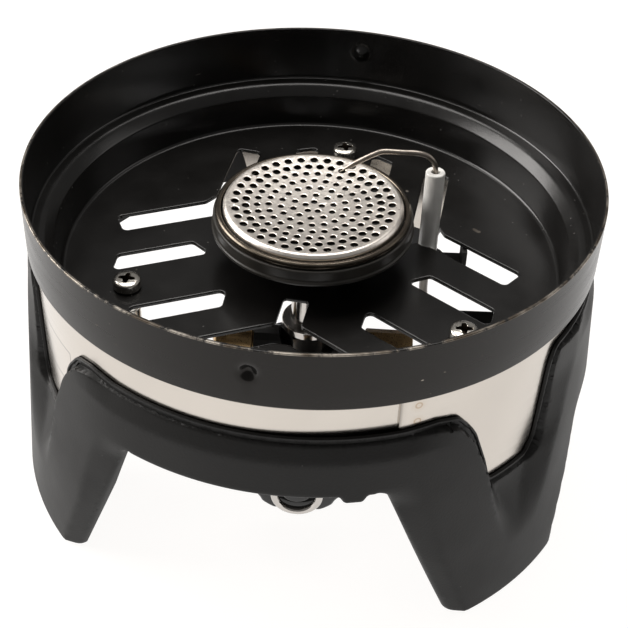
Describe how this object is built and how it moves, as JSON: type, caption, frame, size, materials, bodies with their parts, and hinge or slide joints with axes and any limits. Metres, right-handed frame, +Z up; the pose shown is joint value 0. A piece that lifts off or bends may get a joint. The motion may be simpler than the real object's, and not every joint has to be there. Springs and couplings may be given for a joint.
{
  "type": "canister stove",
  "caption": "Compact canister-top camping stove: black pressed bowl with a perforated burner, wrapped by a steel shell and a three-legged plastic skirt.",
  "frame": {"origin": "centre of the footprint's bounding box, on the plane that the feet rest on; the burner axis is 1.9 mm towards -Y from it", "axes": "+Z up along the burner axis, -Y towards the wide gap between the two front legs, where the valve knob is"},
  "size_m": [0.1298, 0.1324, 0.0781],
  "materials": {
    "enamel": "semi-gloss black enamel on pressed steel",
    "heat_shell_steel": "bright stainless sheet",
    "skirt_plastic": "satin charcoal plastic with a fine grain",
    "black_metal": "satin black finish on metal",
    "polished_steel": "polished stainless steel",
    "chrome": "bright chrome plate",
    "brass": "machined brass",
    "rubber": "black rubber",
    "black_plastic": "moulded black plastic",
    "nickel": "nickel-plated steel",
    "ceramic": "glazed white ceramic",
    "wire_steel": "heat-tinted steel wire",
    "lead_sheath": "silicone-sheathed lead"
  },
  "bodies": {
    "stove": {"burner_bowl": "enamel", "heat_shell": "heat_shell_steel", "leg_skirt": "skirt_plastic", "base_bracket": "black_metal", "valve_body": "black_metal", "burner_cup": "black_metal", "igniter_holder": "black_metal", "electrode_clamp": "black_metal", "burner_disc": "polished_steel", "burner_ring": "polished_steel", "mixing_tube": "chrome", "jet_holder": "chrome", "gas_jet": "brass", "relief_cap": "brass", "passage_plug": "brass", "gland_nut": "brass", "canister_connector": "brass", "depressor_pin": "brass", "spindle_seal": "rubber", "connector_seal": "rubber", "igniter_body": "black_plastic", "plate_screw_1": "nickel", "plate_screw_2": "nickel", "plate_screw_3": "nickel", "standoff_1": "nickel", "standoff_2": "nickel", "standoff_3": "nickel", "bracket_nut_1": "nickel", "bracket_nut_2": "nickel", "bracket_nut_3": "nickel", "skirt_screw_1": "nickel", "skirt_screw_2": "nickel", "skirt_screw_3": "nickel", "valve_screw_1": "nickel", "valve_screw_2": "nickel", "ceramic_insulator": "ceramic", "piezo_element": "ceramic", "electrode_wire": "wire_steel", "igniter_spring": "wire_steel", "ignition_lead": "lead_sheath"},
    "valve_stem": {"valve_spindle": "brass", "control_knob": "black_plastic"},
    "handle": {"wire_handle": "chrome"},
    "button": {"igniter_button": "black_plastic"}
  },
  "joints": [
    {"name": "valve_turn", "type": "hinge", "parent": "stove", "child": "valve_stem", "pos_m": [0, -0.0019, 0.018], "axis": [0.1392, -0.9903, 0], "range_deg": [0, 720]},
    {"name": "handle_swing", "type": "hinge", "parent": "valve_stem", "child": "handle", "pos_m": [0.00529, -0.03953, 0.018], "axis": [-0.9903, -0.1392, 0], "range_deg": [0, 170]},
    {"name": "button_press", "type": "slide", "parent": "stove", "child": "button", "axis": [-0.9848, -0.1736, 0], "range_m": [0, 0.0035], "stiffness_N_per_m": 1000}
  ]
}
